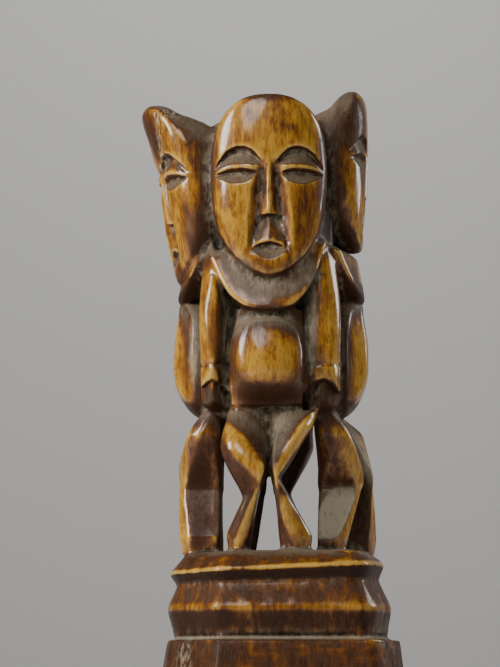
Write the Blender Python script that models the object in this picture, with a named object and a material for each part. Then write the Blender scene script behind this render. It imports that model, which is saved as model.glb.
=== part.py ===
"""Ivory statuette: four figures carved back to back on a moulded plinth, all from one piece.

Sizes are in millimetres until a mesh is made. A figure has its own frame: u runs to the right of
someone who faces it, v runs outwards from the shared axis, and z is the height above the plinth. The
figures keep their pose and proportions as shares of their own height and stance: they are drawn on a
canon that is CANON_HEIGHT tall and CANON_STANCE from the axis to the toes, and place() brings that
canon to size.
"""

import math
from dataclasses import dataclass

import bpy
import bmesh
from mathutils import Vector

MM = 0.001

# Figures
FIGURE_HEIGHT = 97.5
STANCE = 18.4
AXIS_X = -2.4
CANON_HEIGHT = 97.5
CANON_STANCE = 18.4

# Plinth, from the underside up: rises between its edges, and steps in its half width
BLOCK_HEIGHT = 12.2
BLOCK_FLARE = 1.6
LEDGE = 2.1
GROOVE_FOOT = 0.5
LOWER_GROOVE_HEIGHT = 0.7
LOWER_RIDGE_RISE = 5.8
LOWER_RIDGE_OUT = 1.4
UPPER_GROOVE_RISE = 5.4
UPPER_GROOVE_IN = 2.5
UPPER_RIDGE_RISE = 2.6
UPPER_RIDGE_OUT = 1.7
UPPER_RIDGE_OVERHANG = 3.1
PLATEAU_RISE = 3.5
PLATEAU_MARGIN = 0.9
PLATEAU_BEVEL = 2.0
PLATEAU_BEVEL_HEIGHT = 0.4
RIDGE_TILT = 0.043
PLINTH_DRIFT = -1.3

PLATEAU_HALF = STANCE + PLATEAU_MARGIN
UPPER_RIDGE_HALF = PLATEAU_HALF + UPPER_RIDGE_OVERHANG
UPPER_GROOVE_HALF = UPPER_RIDGE_HALF - UPPER_RIDGE_OUT
LOWER_RIDGE_HALF = UPPER_GROOVE_HALF + UPPER_GROOVE_IN
LOWER_GROOVE_HALF = LOWER_RIDGE_HALF - LOWER_RIDGE_OUT
BLOCK_HALF = LOWER_GROOVE_HALF + LEDGE
LOWER_GROOVE_Z = BLOCK_HEIGHT + LOWER_GROOVE_HEIGHT
LOWER_RIDGE_Z = LOWER_GROOVE_Z + LOWER_RIDGE_RISE
UPPER_GROOVE_Z = LOWER_RIDGE_Z + UPPER_GROOVE_RISE
UPPER_RIDGE_Z = UPPER_GROOVE_Z + UPPER_RIDGE_RISE
PLINTH_HEIGHT = UPPER_RIDGE_Z + PLATEAU_RISE

PATINA = (0.36, 0.15, 0.035, 1.0)
POLISH = 0.28


def ivory_material():
    """Old ivory under a brown, polished patina."""
    material = bpy.data.materials.new("patinated_ivory")
    material.use_nodes = True
    shader = material.node_tree.nodes["Principled BSDF"]
    shader.inputs["Base Color"].default_value = PATINA
    shader.inputs["Roughness"].default_value = POLISH
    shader.inputs["Metallic"].default_value = 0.0
    material.diffuse_color = PATINA
    return material


def place(turn, point):
    """World place, in metres, of a canon point on the figure that is turned by so many degrees."""
    u, v, z = point
    angle = math.radians(turn)
    x = (u * math.cos(angle) + v * math.sin(angle)) * STANCE / CANON_STANCE
    y = (u * math.sin(angle) - v * math.cos(angle)) * STANCE / CANON_STANCE
    height = PLINTH_HEIGHT + z * FIGURE_HEIGHT / CANON_HEIGHT
    return Vector((AXIS_X + x, y, height)) * MM


def finish_mesh(name, bm):
    bmesh.ops.recalc_face_normals(bm, faces=bm.faces)
    mesh = bpy.data.meshes.new(name)
    bm.to_mesh(mesh)
    bm.free()
    piece = bpy.data.objects.new(name, mesh)
    bpy.context.scene.collection.objects.link(piece)
    return piece


def hull(name, turn, points):
    """The flat-faced solid that a knife leaves around these points of the canon."""
    bm = bmesh.new()
    for point in points:
        bm.verts.new(place(turn, point))
    made = bmesh.ops.convex_hull(bm, input=bm.verts)
    inside = made["geom_interior"] + made["geom_unused"]
    spare = {part for part in inside if isinstance(part, bmesh.types.BMVert)}
    bmesh.ops.delete(bm, geom=list(spare), context="VERTS")
    return finish_mesh(name, bm)


def loft(name, rings):
    """A closed skin through rings of equally many points, each end drawn to its middle."""
    bm = bmesh.new()
    rows = [[bm.verts.new(point) for point in ring] for ring in rings]
    count = len(rows[0])
    for lower, upper in zip(rows, rows[1:]):
        for i in range(count):
            j = (i + 1) % count
            bm.faces.new((lower[i], lower[j], upper[j], upper[i]))
    for row in (rows[0], rows[-1]):
        middle = bm.verts.new(sum((corner.co for corner in row), Vector()) / count)
        for i in range(count):
            bm.faces.new((row[i], row[(i + 1) % count], middle))
    bmesh.ops.triangulate(bm, faces=bm.faces)
    return finish_mesh(name, bm)


def boolean(piece, others, operation):
    """Joins the other pieces to this one, or carves them out of it."""
    group = bpy.data.collections.new(piece.name + "_" + operation.lower())
    bpy.context.scene.collection.children.link(group)
    for other in others:
        bpy.context.scene.collection.objects.unlink(other)
        group.objects.link(other)
        other.hide_render = True
        other.display_type = "WIRE"
    modifier = piece.modifiers.new(operation.title(), "BOOLEAN")
    modifier.operation = operation
    modifier.operand_type = "COLLECTION"
    modifier.collection = group
    modifier.solver = "EXACT"


# Head

EGG_POINTS = 32
CHEEKBONES = 0.6
HEAD_BACK = 8.0
DOME = 6.3
DOME_RINGS = (0.985, 0.93, 0.82, 0.66, 0.46, 0.24, 0.05)
DOME_POWER = 2.6
CHIN_ROUNDING = 0.8
CROWN_ROUNDING = 2.2
CUTTER_OUT = 4.0


@dataclass
class Head:
    """An egg-shaped mask, domed from side to side, on the front of the column.

    The chin and the top are heights and reach is how far the rim stands from the axis. lean tips the
    head outwards and crown bends its top out further. The face is laid out in thirds of its height.
    """

    name: str
    turn: float
    chin: float
    top: float
    half_width: float
    centre: float
    lean: float
    reach: float
    crown: float

    def height(self, share):
        """Height at a share of the way from the chin to the top."""
        return self.chin + share * (self.top - self.chin)

    def cheeks(self):
        return self.height(CHEEKBONES)

    def tall(self, up):
        """From the cheekbones to the top, or down to the chin."""
        return self.top - self.cheeks() if up >= 0 else self.cheeks() - self.chin

    def stretch(self, across, up):
        """How far the egg reaches in this direction, its half width and half height being 1."""
        power_up, power_across = (2.5, 2.5) if up >= 0 else (2.8, 1.5)
        low, high = 0.0, 2.0
        for _ in range(30):
            middle = (low + high) / 2
            if abs(up * middle) ** power_up + abs(across * middle) ** power_across > 1:
                high = middle
            else:
                low = middle
        return low

    def face(self, share, up):
        """How far the face stands out, at a share of the way from its middle to its rim."""
        rise = DOME - (CROWN_ROUNDING if up > 0 else CHIN_ROUNDING)
        rim = self.reach + rise * up ** 2
        return rim + (self.reach + DOME - rim) * math.sqrt(1 - share ** DOME_POWER)

    def tip(self, z):
        """How far the head is tipped out at a height from the cheekbones."""
        return self.lean * z + self.crown * (max(0.0, z) / self.tall(1.0)) ** 2

    def skin(self, u, share):
        """How far the face stands out beside its middle line, at a height share."""
        z = self.height(share) - self.cheeks()
        across, up = u / self.half_width, z / self.tall(z)
        radius = math.hypot(across, up) or 1e-6
        across, up = across / radius, up / radius
        return self.face(min(1.0, radius / self.stretch(across, up)), up) + self.tip(z)

    def at(self, across, share, out):
        """Canon point: across in half widths from the middle line, out in front of the skin."""
        u = across * self.half_width
        return self.centre + u, self.skin(u, share) + out, self.height(share)

    def ring(self, share, depth_at, drop):
        """Ring of the skin; depth_at(up) is how far out it lies, and drop lowers its crown."""
        points = []
        for i in range(EGG_POINTS):
            angle = math.tau * i / EGG_POINTS
            across, up = math.cos(angle), math.sin(angle)
            egg = self.stretch(across, up) * share
            z = up * self.tall(up) * egg
            depth = depth_at(up)
            v = depth + self.tip(z) * min(1.0, depth / self.reach)
            z += self.cheeks() - drop * max(0.0, up) ** 2
            points.append(place(self.turn, (self.centre + across * self.half_width * egg, v, z)))
        return points

    def build(self):
        rings = [
            self.ring(0.92, lambda up: HEAD_BACK, 5.6),
            self.ring(0.97, lambda up: HEAD_BACK + 2.5 + 2.0 * max(0.0, up) ** 2, 3.6),
            self.ring(1.0, lambda up: self.face(1.0, up) - 1.2 - 3.0 * max(0.0, up) ** 2, 0.9),
        ]
        for share in DOME_RINGS:
            rings.append(self.ring(share, lambda up, share=share: self.face(share, up), 0.0))
        head = loft(self.name, rings)
        cuts = [self.mouth()]
        for side in (-1, 1):
            cuts += [self.brow(side), self.eye(side), self.channel(side)]
        boolean(head, cuts, "DIFFERENCE")
        boolean(head, [self.nose(), self.lip()], "UNION")
        return head

    def carving(self, label, points):
        return hull(self.name + label, self.turn, [self.at(*point) for point in points])

    def brow(self, side):
        """Crescent under the brow, deep under its arch and running out at the eyelid."""
        arch = ((0.15, 0.622), (0.28, 0.668), (0.46, 0.692), (0.66, 0.672), (0.82, 0.625), (0.9, 0.585))
        points = []
        for across, share in arch:
            points.append((side * across, share, -1.2))
            points.append((side * across, share + 0.01, CUTTER_OUT))
        for across in (0.16, 0.86):
            points.append((side * across, 0.604, -0.2))
            points.append((side * across, 0.604, CUTTER_OUT))
        return self.carving("_brow", points)

    def eye(self, side):
        """Half-closed eye, a long groove with pointed corners."""
        points = []
        for across in (0.18, 0.92):
            points += [(side * across, 0.556, out) for out in (-0.1, CUTTER_OUT)]
        for across in (0.4, 0.7):
            for share in (0.52, 0.588):
                points += [(side * across, share, out) for out in (0.05, CUTTER_OUT)]
        points += [(side * across, 0.556, -0.9) for across in (0.34, 0.74)]
        return self.carving("_eye", points)

    def channel(self, side):
        """Furrow beside the nose, steep on the nose and sloping up to the cheek."""
        points = []
        for share, foot, cheek in ((0.565, 0.13, 0.24), (0.36, 0.2, 0.35), (0.17, 0.27, 0.34)):
            points.append((side * foot, share, -1.4))
            points.append((side * foot, share, CUTTER_OUT))
            points.append((side * cheek, share, 0.1))
            points.append((side * cheek, share, CUTTER_OUT))
        return self.carving("_channel", points)

    def mouth(self):
        points = []
        for side in (-1, 1):
            points += [(side * 0.28, 0.142, out) for out in (-0.1, CUTTER_OUT)]
            points.append((side * 0.16, 0.148, -1.0))
            for share in (0.108, 0.184):
                points += [(side * 0.14, share, out) for out in (0.1, CUTTER_OUT)]
        return self.carving("_mouth", points)

    def nose(self):
        """Long wedge whose ridge keeps the level of the forehead and the chin, cut under its tip."""
        half = ((0.05, 0.645, -1.5), (0.03, 0.64, -0.05), (0.1, 0.6, -1.6), (0.2, 0.325, -1.9),
                (0.17, 0.332, -0.3), (0.05, 0.345, 0.4))
        return self.carving("_nose", [(side * u, share, out) for side in (-1, 1) for u, share, out in half])

    def lip(self):
        half = ((0.12, 0.36, -2.0), (0.02, 0.34, -0.5), (0.27, 0.19, -2.0), (0.23, 0.192, -0.8),
                (0.02, 0.196, -0.1))
        return self.carving("_lip", [(side * u, share, out) for side in (-1, 1) for u, share, out in half])


# Trunk

COLUMN_CORNER = 3.0
COLUMN_SECTIONS = ((27.5, 10.6), (31.0, 12.2), (50.0, 12.4), (60.0, 12.6), (86.5, 12.6), (89.6, 11.9))
VALLEY_Z = 88.4
VALLEY_REACH = 5.0
VALLEY_CORNER = 1.0
LIMB_BACK = 10.0


def column():
    """The square trunk that the four figures share, from the hips to the valley between the heads."""
    rings = []
    for z, half in COLUMN_SECTIONS:
        corner = half - COLUMN_CORNER
        rings.append([place(90 * quarter, (u, half, z)) for quarter in range(4) for u in (-corner, corner)])
    corner = VALLEY_REACH - VALLEY_CORNER
    top = [(u, VALLEY_REACH, VALLEY_Z) for u in (-corner, corner)]
    rings.append([place(90 * quarter, point) for quarter in range(4) for point in top])
    return loft("column", rings)


CHEST_HALF = 12.2
CHEST_FRONT = 19.8
CHEST_STEPS = 12


def chest(name, turn, centre, middle_z, left_peak, right_peak, throat):
    """Collar that hangs from both shoulders in a U, its lower edge standing proud.

    throat is how far out the collar stands under the chin.
    """
    points = []
    for i in range(CHEST_STEPS + 1):
        across = 2 * i / CHEST_STEPS - 1
        peak = right_peak if across > 0 else left_peak
        u = centre + CHEST_HALF * across
        edge_z = middle_z + (peak - middle_z) * abs(across) ** 3
        edge_v = CHEST_FRONT - 4.7 * abs(across) ** 2.4
        points += [(u, edge_v, edge_z), (u * 0.95, edge_v - 0.9, edge_z - 0.5)]
        points.append((u * 0.9, LIMB_BACK, edge_z + 1.0))
    for side, peak in ((-1, left_peak), (1, right_peak)):
        points.append((centre + side * 11.6, 13.6, peak + 1.0))
        points.append((centre + side * 11.0, 9.5, peak + 1.0))
        points.append((centre + side * 6.0, 15.0, peak + 0.4))
        points.append((centre + side * 2.5, throat, peak - 0.6))
    return hull(name + "_chest", turn, points)


BELLY_POINTS = 24
BELLY_POWER = 2.9
BELLY_RINGS = ((1.0, 11.0), (1.0, 15.2), (0.95, 16.9), (0.83, 18.4), (0.65, 19.5), (0.4, 20.2),
               (0.1, 20.5))
BELLY_TUCK = 2.2
BELLY_LEDGE = 2.9


def belly(name, turn, centre, low, high, half_width):
    """Swollen belly with a square ledge on top, drawn in towards the hips."""
    middle, half_height = (low + high) / 2, (high - low) / 2
    rings = []
    for share, depth in BELLY_RINGS:
        ring = []
        for i in range(BELLY_POINTS):
            angle = math.tau * i / BELLY_POINTS
            across, up = math.cos(angle), math.sin(angle)
            reach = share * (abs(across) ** BELLY_POWER + abs(up) ** BELLY_POWER) ** (-1 / BELLY_POWER)
            bow = 0.0
            if depth > BELLY_RINGS[0][1]:
                bow = BELLY_LEDGE * max(0.0, up * reach) ** 6 - BELLY_TUCK * max(0.0, -up * reach) ** 2.5
            u, z = centre + across * reach * half_width, middle + up * reach * half_height
            ring.append(place(turn, (u, depth + bow, z)))
        rings.append(ring)
    return loft(name + "_belly", rings)


# Height, share of the way from the arm's middle to its inner and outer edges, and how far out
ARM_RINGS = ((63.6, -0.1, 0.1, -1.8), (60.0, 0.3, 0.75, -0.8), (53.0, 0.75, 0.95, -0.2),
             (46.0, 1.0, 1.0, 0.0), (37.8, 0.75, 0.75, -0.5), (29.6, 0.75, 0.9, -0.9))
HAND_RINGS = ((37.0, -1.2), (33.0, -0.9), (29.4, -1.6))
GABLE = ((0.0, 35.2), (-6.0, 31.6), (6.0, 31.0), (-6.0, 27.0), (6.0, 27.0))
ARM_BACK = 9.4
ARM_ROOT = 7.0


@dataclass
class Arm:
    """Arm at a corner of the column: a faceted post that ends in a gable over the set-back hand."""

    name: str
    turn: float
    side: int
    inner: float
    ridge_in: float
    ridge_out: float
    outer: float
    front: float

    def solid(self, label, points):
        return hull(self.name + label, self.turn, [(self.side * u, v, z) for u, v, z in points])

    def build(self):
        middle = (self.ridge_in + self.ridge_out) / 2
        post = []
        for z, spread_in, spread_out, out in ARM_RINGS:
            front, slim = self.front + out, max(0.1, spread_in)
            outer = middle + (self.outer - middle) * spread_out
            post.append((middle + (self.inner - middle) * spread_in, front - 2.6, z))
            post.append((middle + (self.ridge_in - middle) * slim, front, z))
            post.append((middle + (self.ridge_out - middle) * slim, front, z))
            post += [(outer, front - 2.2, z), (outer, ARM_BACK, z), (middle + 0.5, ARM_ROOT, z)]
        hand = []
        for z, out in HAND_RINGS:
            front = self.front + out
            hand += [(self.inner + 0.6, front - 2.8, z), (middle, front, z)]
            hand += [(self.outer - 0.6, front - 2.4, z), (self.outer - 0.2, ARM_BACK, z)]
            hand.append((middle + 0.5, ARM_ROOT, z))
        gable = [(middle + u, self.front + out, z) for u, z in GABLE for out in (-2.6, 3.0)]
        arm = self.solid("_arm", post)
        boolean(arm, [self.solid("_gable", gable)], "DIFFERENCE")
        return [arm, self.solid("_hand", hand)]


HIP_Z = 29.3
HIP_FRONT = 13.9
HIP_INNER = 2.4
KNEE_INNER = 0.6
THIGH_RIDGE = 0.8
SHIN_BACK = 10.3
ANKLE_Z = 3.0
ROOT_Z = -1.2


@dataclass
class Leg:
    """Bent leg: the thigh and the shin are two faceted wedges that meet in a notch behind the knee.

    hip, bulge and notch are how far out the leg's outer side is there, knee_v and foot_v are how far
    forward the knee and the foot stand, and swell is how far the thigh bows out in front.
    """

    side: int
    hip: float
    bulge: float
    bulge_z: float
    notch: float
    notch_z: float
    knee_z: float
    foot_in: float
    foot_out: float
    knee_v: float
    foot_v: float
    swell: float = 0.9

    def thigh(self):
        share = (HIP_Z - self.bulge_z) / (HIP_Z - self.knee_z)
        front = HIP_FRONT + (self.knee_v - HIP_FRONT) * share + self.swell
        inner = HIP_INNER + (KNEE_INNER - HIP_INNER) * share
        points = [(HIP_INNER, LIMB_BACK, HIP_Z), (self.hip, LIMB_BACK, HIP_Z)]
        points += [(self.hip, HIP_FRONT - 1.2, HIP_Z), (self.hip * THIGH_RIDGE, HIP_FRONT, HIP_Z)]
        points.append((HIP_INNER, HIP_FRONT - 0.8, HIP_Z))
        points += [(inner, LIMB_BACK, self.bulge_z), (self.bulge - 0.9, LIMB_BACK, self.bulge_z)]
        points += [(self.bulge, front - 2.8, self.bulge_z), (self.bulge * THIGH_RIDGE, front, self.bulge_z)]
        points.append((inner, front - 2.4, self.bulge_z))
        points += [(KNEE_INNER, LIMB_BACK, self.knee_z), (KNEE_INNER, self.knee_v, self.knee_z)]
        points.append((KNEE_INNER + 0.2, LIMB_BACK, self.knee_z - 3.0))
        points.append((KNEE_INNER + 1.0, self.knee_v - 0.2, self.knee_z - 2.6))
        points += [(self.notch, LIMB_BACK, self.notch_z), (self.notch - 0.3, self.knee_v - 1.7, self.notch_z)]
        return points

    def shin(self):
        ridge = self.foot_in + 0.45 * (self.foot_out - self.foot_in)
        points = [(KNEE_INNER + 0.15, SHIN_BACK, self.knee_z - 1.0)]
        points.append((KNEE_INNER + 0.25, self.knee_v - 0.4, self.knee_z - 1.0))
        points.append((KNEE_INNER + 1.0, self.knee_v - 0.5, self.knee_z - 1.6))
        points += [(self.notch, SHIN_BACK, self.notch_z), (self.notch - 0.2, self.knee_v - 1.8, self.notch_z)]
        for z, slim, back_off in ((ANKLE_Z, 0.0, 0.0), (ROOT_Z, 0.4, 0.5)):
            front = self.foot_v - back_off
            points += [(self.foot_in + slim, SHIN_BACK, z), (self.foot_out - 2 * slim, SHIN_BACK, z)]
            points.append((self.foot_out - 2 * slim, front - 2.2, z))
            points += [(ridge + 0.9 - slim, front, z), (self.foot_in + slim, front - 1.4, z)]
        return points

    def build(self, name, turn, centre):
        pieces = []
        for label, points in (("_thigh", self.thigh()), ("_shin", self.shin())):
            turned = [(centre + self.side * u, v, z) for u, v, z in points]
            pieces.append(hull(name + label, turn, turned))
        return pieces


def crotch(name, turn, centre):
    """Wall left between the thighs, down to the knees."""
    half = ((4.5, 9.0, 30.5), (4.5, 13.2, 30.5), (1.0, 9.8, 17.0), (1.0, 13.6, 17.0))
    return hull(name + "_crotch", turn, [(centre + side * u, v, z) for side in (-1, 1) for u, v, z in half])


# Plinth

# Direction of each knife-cut side, in degrees, and its distance from the middle for a half width of 1
PLAN_FLATS = (
    (-90, 0.96), (-47, 1.2), (-15, 1.035), (5, 0.975), (42, 1.08), (68, 1.03), (92, 0.96), (136, 1.07),
    (166, 1.01), (184, 1.0), (219, 1.03),
)


def plan_corners():
    """Corners of the plinth's plan, where each side meets the next."""
    flats = sorted((math.radians(angle), reach) for angle, reach in PLAN_FLATS)
    corners = []
    for (angle, reach), (after, after_reach) in zip(flats, flats[1:] + flats[:1]):
        across = math.sin(after - angle)
        x = (reach * math.sin(after) - after_reach * math.sin(angle)) / across
        y = (after_reach * math.cos(angle) - reach * math.cos(after)) / across
        corners.append((x, y))
    return corners


def plinth():
    """Block, two grooves and two ridges; the upper ridge climbs a little to the right."""
    levels = (
        (0.0, BLOCK_HALF + BLOCK_FLARE, 0.0),
        (BLOCK_HEIGHT, BLOCK_HALF, 0.0),
        (BLOCK_HEIGHT, LOWER_GROOVE_HALF + GROOVE_FOOT, 0.0),
        (LOWER_GROOVE_Z, LOWER_GROOVE_HALF, 0.0),
        (LOWER_RIDGE_Z, LOWER_RIDGE_HALF, 0.0),
        (UPPER_GROOVE_Z, UPPER_GROOVE_HALF, RIDGE_TILT / 2),
        (UPPER_RIDGE_Z, UPPER_RIDGE_HALF, RIDGE_TILT),
        (PLINTH_HEIGHT - PLATEAU_BEVEL_HEIGHT, PLATEAU_HALF, RIDGE_TILT / 2),
        (PLINTH_HEIGHT, PLATEAU_HALF - PLATEAU_BEVEL, RIDGE_TILT / 3),
    )
    corners = plan_corners()
    rings = []
    for z, half, tilt in levels:
        drift = PLINTH_DRIFT * min(1.0, z / UPPER_RIDGE_Z) if z > BLOCK_HEIGHT else 0.0
        rings.append([Vector((drift + x * half, y * half, z + tilt * x * half)) * MM for x, y in corners])
    return loft("statuette", rings)


@dataclass
class Figure:
    """One of the four: head, collar, belly and legs; its arms stand at the corners it shares."""

    name: str
    turn: float
    centre: float
    legs: tuple
    head: Head
    chest_z: float
    peaks: tuple
    throat: float
    belly_size: tuple

    def build(self):
        pieces = [self.head.build(), crotch(self.name, self.turn, self.centre)]
        pieces.append(chest(self.name, self.turn, self.centre, self.chest_z, *self.peaks, self.throat))
        pieces.append(belly(self.name, self.turn, self.centre, *self.belly_size))
        for leg in self.legs:
            pieces += leg.build(self.name, self.turn, self.centre)
        return pieces


WIDE_LEFT = Leg(-1, 7.6, 10.1, 21.1, 5.1, 10.9, 16.6, 4.1, 8.4, 19.4, 16.8)
LEAN_RIGHT = Leg(1, 9.9, 9.3, 25.2, 2.4, 14.7, 16.3, 2.4, 9.0, 19.6, 16.9)
NEAR_LEFT = Leg(-1, 8.6, 9.6, 24.0, 4.4, 13.4, 16.0, 3.2, 8.6, 19.8, 16.2)
FAR_RIGHT = Leg(1, 8.8, 9.2, 25.0, 3.6, 13.4, 15.8, 3.0, 8.6, 21.6, 21.7, 2.6)
PLAIN_RIGHT = Leg(1, 8.8, 9.2, 24.0, 3.6, 13.4, 15.8, 3.0, 8.6, 19.8, 18.4)
NEAR_RIGHT = Leg(1, 8.6, 9.8, 24.0, 5.0, 13.2, 17.6, 3.4, 9.0, 19.7, 18.9)
PLAIN_LEFT = Leg(-1, 8.4, 9.6, 23.0, 4.4, 13.0, 16.0, 3.4, 8.6, 19.2, 17.6)

FRONT_HEAD = Head("front_head", 0, 55.1, 93.5, 12.0, -0.6, 0.05, 15.2, 0.3)
RIGHT_HEAD = Head("right_head", 86, 62.6, 97.2, 10.6, 0.0, 0.03, 14.1, 0.4)
BACK_HEAD = Head("back_head", 180, 57.0, 95.0, 11.5, 0.0, 0.07, 15.2, 0.4)
LEFT_HEAD = Head("left_head", 282, 55.5, 93.7, 11.4, 0.0, 0.15, 17.5, 3.9)

FRONT_BELLY = (29.3, 47.3, 7.6)
RIGHT_BELLY = (27.6, 52.3, 7.4)
BACK_BELLY = (28.4, 50.2, 7.4)
LEFT_BELLY = (27.6, 52.5, 7.4)

FIGURES = (
    Figure("front", 0, -0.8, (WIDE_LEFT, LEAN_RIGHT), FRONT_HEAD, 48.8, (60.4, 63.3), 16.0, FRONT_BELLY),
    Figure("right", 84, 0.0, (NEAR_LEFT, FAR_RIGHT), RIGHT_HEAD, 52.4, (62.0, 61.0), 18.3, RIGHT_BELLY),
    Figure("back", 180, 0.3, (PLAIN_LEFT, PLAIN_RIGHT), BACK_HEAD, 50.4, (61.5, 61.0), 17.0, BACK_BELLY),
    Figure("left", 268, 0.0, (PLAIN_LEFT, NEAR_RIGHT), LEFT_HEAD, 52.7, (61.0, 60.4), 17.6, LEFT_BELLY),
)
ARMS = (
    Arm("front_right", 0, 1, 6.5, 8.2, 12.9, 14.1, 15.6),
    Arm("front_left", 0, -1, 9.0, 11.2, 13.0, 14.8, 15.4),
    Arm("back_right", 180, 1, 8.4, 10.2, 12.6, 14.4, 15.4),
    Arm("back_left", 180, -1, 8.2, 10.2, 12.6, 14.2, 15.4),
)


def main():
    for old in list(bpy.data.objects):
        bpy.data.objects.remove(old)
    statuette = plinth()
    statuette.data.materials.append(ivory_material())
    pieces = [column()]
    for member in FIGURES + ARMS:
        pieces += member.build()
    boolean(statuette, pieces, "UNION")


main()
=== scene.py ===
import functools
import math

import bmesh
import bpy
import numpy as np
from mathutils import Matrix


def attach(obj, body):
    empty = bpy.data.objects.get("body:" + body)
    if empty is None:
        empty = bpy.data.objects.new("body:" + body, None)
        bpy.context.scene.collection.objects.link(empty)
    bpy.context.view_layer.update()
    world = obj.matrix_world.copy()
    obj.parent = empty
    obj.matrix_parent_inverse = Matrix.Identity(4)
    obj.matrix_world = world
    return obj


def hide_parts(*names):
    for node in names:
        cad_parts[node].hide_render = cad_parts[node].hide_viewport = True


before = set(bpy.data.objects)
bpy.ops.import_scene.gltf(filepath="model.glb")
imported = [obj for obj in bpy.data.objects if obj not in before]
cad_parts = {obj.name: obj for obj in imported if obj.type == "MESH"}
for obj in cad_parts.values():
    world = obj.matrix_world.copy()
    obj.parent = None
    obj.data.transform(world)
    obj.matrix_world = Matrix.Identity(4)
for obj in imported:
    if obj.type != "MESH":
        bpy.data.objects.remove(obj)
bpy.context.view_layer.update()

import openvdb
from mathutils import Vector

# The carving is worked in millimetres, on a grid of cells, and turned back to metres at the end
MM = 0.001
CELL = 0.27
# Cells that hold distances on each side of the surface, and empty cells round the solid
BAND = 12
MARGIN = 6
# How close two corners of the solid are, in metres, to be one
WELD = 1e-7
# More than half the statuette's width, and what keeps a length from being nothing
WIDE = 60.0
TINY = 1e-6

# The solid's own frame: the axis that the figures share, and the height they stand at
AXIS_X = -2.4
PLINTH_HEIGHT = 30.2
STATUETTE = "statuette"


# Field

BLUR_REACH = 2.5
BOX_PASSES = 3


def along(axis):
    """Shape that spreads a row of values over the grid along an axis."""
    return [-1 if axis == other else 1 for other in range(3)]


def slab(axis, start, stop):
    """Slices that keep a run of cells along one axis, and all the cells along the others."""
    spans = [slice(None)] * 3
    spans[axis] = slice(start, stop)
    return tuple(spans)


class Field:
    """Distances in millimetres to a surface, negative inside, on a grid of cells."""

    def __init__(self, values, low):
        self.values = values
        self.low = low

    @classmethod
    def of_mesh(cls, mesh):
        """Field of a closed mesh that is given in metres."""
        bm = bmesh.new()
        bm.from_mesh(mesh)
        bmesh.ops.remove_doubles(bm, verts=bm.verts, dist=WELD)
        bmesh.ops.triangulate(bm, faces=bm.faces)
        points = np.array([v.co for v in bm.verts], np.float32) / MM
        corners = np.array([[v.index for v in f.verts] for f in bm.faces], np.uint32)
        bm.free()
        grid = openvdb.FloatGrid.createLevelSetFromPolygons(
            points, triangles=corners, transform=openvdb.createLinearTransform(CELL), halfWidth=BAND)
        low = np.floor(points.min(0) / CELL).astype(int) - MARGIN
        high = np.ceil(points.max(0) / CELL).astype(int) + MARGIN
        field = cls(np.zeros(high - low + 1, np.float32), low)
        grid.copyToArray(field.values, ijk=field.first_cell())
        return field

    def first_cell(self):
        return tuple(int(count) for count in self.low)

    def axes(self, window=None):
        """Coordinates of the cells along x, y and z, shaped to spread over the grid."""
        spans = window or tuple(slice(0, size) for size in self.values.shape)
        rows = [(np.arange(span.start, span.stop) + low) * CELL for span, low in zip(spans, self.low)]
        return [row.reshape(along(axis)).astype(np.float32) for axis, row in enumerate(rows)]

    def window(self, low, high):
        """Slices that hold the cells between two corners, in millimetres."""
        spans = []
        for axis in range(3):
            first = int(np.floor(low[axis] / CELL)) - self.low[axis]
            last = int(np.ceil(high[axis] / CELL)) - self.low[axis] + 1
            spans.append(slice(max(0, first), min(self.values.shape[axis], last)))
        return tuple(spans)

    def skin(self):
        """Points and faces of the surface, in millimetres."""
        grid = openvdb.FloatGrid(float(BAND * CELL))
        grid.transform = openvdb.createLinearTransform(CELL)
        grid.copyFromArray(self.values, ijk=self.first_cell())
        points, corners = grid.convertToQuads(0.0)
        return points, corners

    def sample(self, values, points, coarse):
        """Values at points between the cells of a grid that keeps one in so many of this one's cells."""
        place = (points / CELL - self.low) / coarse
        base = np.clip(np.floor(place).astype(int), 0, np.array(values.shape) - 2)
        part = (place - base).astype(np.float32)
        result = np.zeros(len(points), np.float32)
        for corner in range(8):
            step = np.array([corner & 1, corner >> 1 & 1, corner >> 2])
            weight = np.prod(np.where(step, part, 1 - part), axis=1)
            index = base + step
            result += weight * values[index[:, 0], index[:, 1], index[:, 2]]
        return result


def add_shifted(result, values, axis, count, weight):
    """Adds to the result the values moved by a count of cells each way along an axis."""
    result[slab(axis, count, None)] += weight * values[slab(axis, None, -count)]
    result[slab(axis, None, -count)] += weight * values[slab(axis, count, None)]


def blurred(values, radius, axes=(0, 1, 2)):
    """The values blurred over a radius in millimetres, along some of the axes."""
    spread = radius / CELL
    reach = max(1, math.ceil(BLUR_REACH * spread))
    weights = [math.exp(-0.5 * (count / spread) ** 2) for count in range(reach + 1)]
    total = weights[0] + 2 * sum(weights[1:])
    for axis in axes:
        result = values * np.float32(weights[0] / total)
        for count in range(1, reach + 1):
            add_shifted(result, values, axis, count, np.float32(weights[count] / total))
        values = result
    return values


def box_blurred(values, axis, reach):
    """The values averaged over so many cells each way along an axis."""
    pads = [(0, 0)] * 3
    pads[axis] = (reach + 1, reach)
    total = np.cumsum(np.pad(values, pads, mode="edge"), axis=axis, dtype=np.float32)
    width = 2 * reach + 1
    return (total[slab(axis, width, None)] - total[slab(axis, None, -width)]) / width


def crowding(values, radius, coarse):
    """Share of solid around one in so many cells, blurred over a radius in millimetres."""
    solid = np.clip(0.5 - values[::coarse, ::coarse, ::coarse] / (2 * CELL), 0, 1)
    for _ in range(BOX_PASSES):
        for axis in range(3):
            solid = box_blurred(solid, axis, max(1, round(radius / (CELL * coarse))))
    return solid


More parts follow.
